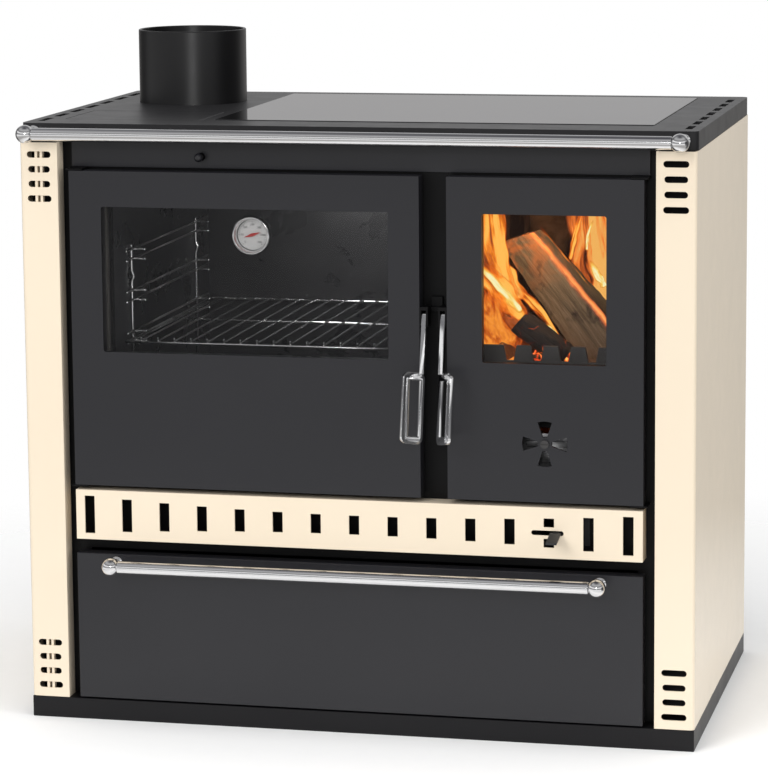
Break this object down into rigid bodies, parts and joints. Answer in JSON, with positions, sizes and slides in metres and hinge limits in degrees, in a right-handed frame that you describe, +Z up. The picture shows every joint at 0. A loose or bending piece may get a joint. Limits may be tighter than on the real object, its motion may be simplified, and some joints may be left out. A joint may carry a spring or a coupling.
{
  "type": "wood cookstove",
  "caption": "Freestanding wood cookstove with a glazed oven, a glazed firebox, a glass hob, a flue collar, a storage drawer and a towel rail.",
  "frame": {"origin": "centre of the base's footprint, on the floor", "axes": "+X to the right seen from the front, -Y out of the front, +Z up"},
  "size_m": [0.95, 0.6179, 0.958],
  "materials": {
    "cream_enamel": "cream gloss enamel",
    "anthracite_enamel": "anthracite satin enamel",
    "plate_grey": "dark grey satin",
    "black_steel": "black heat-proof paint",
    "chrome": "polished",
    "steel": "plain steel wire and sheet",
    "cast_iron": "raw cast iron",
    "firebrick": "matte fireclay",
    "rope_seal": "glass-fibre rope",
    "dial_white": "white enamel",
    "needle_red": "red paint",
    "door_glass": "clear ceramic glass",
    "hob_glass": "black ceramic glass"
  },
  "bodies": {
    "stove": {"base_plinth": "anthracite_enamel", "left_side_panel": "cream_enamel", "right_side_panel": "cream_enamel", "back_panel": "black_steel", "body_side_left": "black_steel", "body_side_right": "black_steel", "body_floor": "black_steel", "front_frame": "black_steel", "front_fascia": "anthracite_enamel", "vent_strip": "cream_enamel", "top_plate": "plate_grey", "hob_glass": "hob_glass", "cleaning_plate": "plate_grey", "flue_collar": "anthracite_enamel", "towel_rail": "chrome", "towel_rail_end_left": "chrome", "towel_rail_end_right": "chrome", "oven_box": "black_steel", "rack_support_left": "steel", "rack_support_right": "steel", "oven_shelf": "chrome", "firebox_shell": "black_steel", "firebrick_left": "firebrick", "firebrick_right": "firebrick", "firebrick_back": "firebrick", "grate": "cast_iron", "ember_guard": "cast_iron", "ash_pan": "steel", "ash_pan_pull": "steel", "smoke_divider": "black_steel", "door_catch": "steel", "oven_hinge_upper": "cast_iron", "oven_hinge_lower": "cast_iron", "fire_hinge_upper": "cast_iron", "fire_hinge_lower": "cast_iron", "drawer_runner_left": "steel", "drawer_runner_right": "steel"},
    "oven_door": {"oven_door_panel": "anthracite_enamel", "oven_door_liner": "black_steel", "oven_glass": "door_glass", "oven_door_seal": "rope_seal", "thermometer_case": "chrome", "thermometer_dial": "dial_white", "oven_latch_fork": "black_steel"},
    "thermometer_needle": {"thermometer_needle": "needle_red"},
    "oven_handle": {"oven_handle": "chrome"},
    "fire_door": {"fire_door_panel": "anthracite_enamel", "fire_door_liner": "black_steel", "fire_glass": "door_glass", "fire_door_seal": "rope_seal", "fire_latch_fork": "black_steel"},
    "fire_handle": {"fire_handle": "chrome"},
    "air_disc": {"air_disc": "cast_iron"},
    "drawer": {"drawer_front": "anthracite_enamel", "drawer_tray": "black_steel", "drawer_rail": "chrome", "drawer_rail_end_left": "chrome", "drawer_rail_end_right": "chrome"},
    "damper": {"damper_rod": "cast_iron"},
    "air_lever": {"air_lever": "black_steel"}
  },
  "joints": [
    {"name": "oven_door_hinge", "type": "hinge", "parent": "stove", "child": "oven_door", "pos_m": [-0.397, -0.272, 0.5625], "axis": [0, 0, -1], "range_deg": [0, 110]},
    {"name": "fire_door_hinge", "type": "hinge", "parent": "stove", "child": "fire_door", "pos_m": [0.397, -0.272, 0.5625], "axis": [0, 0, 1], "range_deg": [0, 110]},
    {"name": "oven_handle_pivot", "type": "hinge", "parent": "oven_door", "child": "oven_handle", "pos_m": [0.1018, -0.272, 0.592], "axis": [-1, 0, 0], "range_deg": [0, 40]},
    {"name": "fire_handle_pivot", "type": "hinge", "parent": "fire_door", "child": "fire_handle", "pos_m": [0.1282, -0.272, 0.592], "axis": [-1, 0, 0], "range_deg": [0, 40]},
    {"name": "air_disc_turn", "type": "hinge", "parent": "fire_door", "child": "air_disc", "pos_m": [0.2685, -0.275, 0.421], "axis": [0, 1, 0], "range_deg": [0, 45]},
    {"name": "needle_pivot", "type": "hinge", "parent": "oven_door", "child": "thermometer_needle", "pos_m": [-0.149, -0.2485, 0.696], "axis": [0, 1, 0], "range_deg": [-208, 62]},
    {"name": "drawer_slide", "type": "slide", "parent": "stove", "child": "drawer", "axis": [0, -1, 0], "range_m": [0, 0.36]},
    {"name": "damper_slide", "type": "slide", "parent": "stove", "child": "damper", "axis": [0, -1, 0], "range_m": [0, 0.08]},
    {"name": "air_lever_slide", "type": "slide", "parent": "stove", "child": "air_lever", "axis": [1, 0, 0], "range_m": [-0.03, 0]}
  ]
}
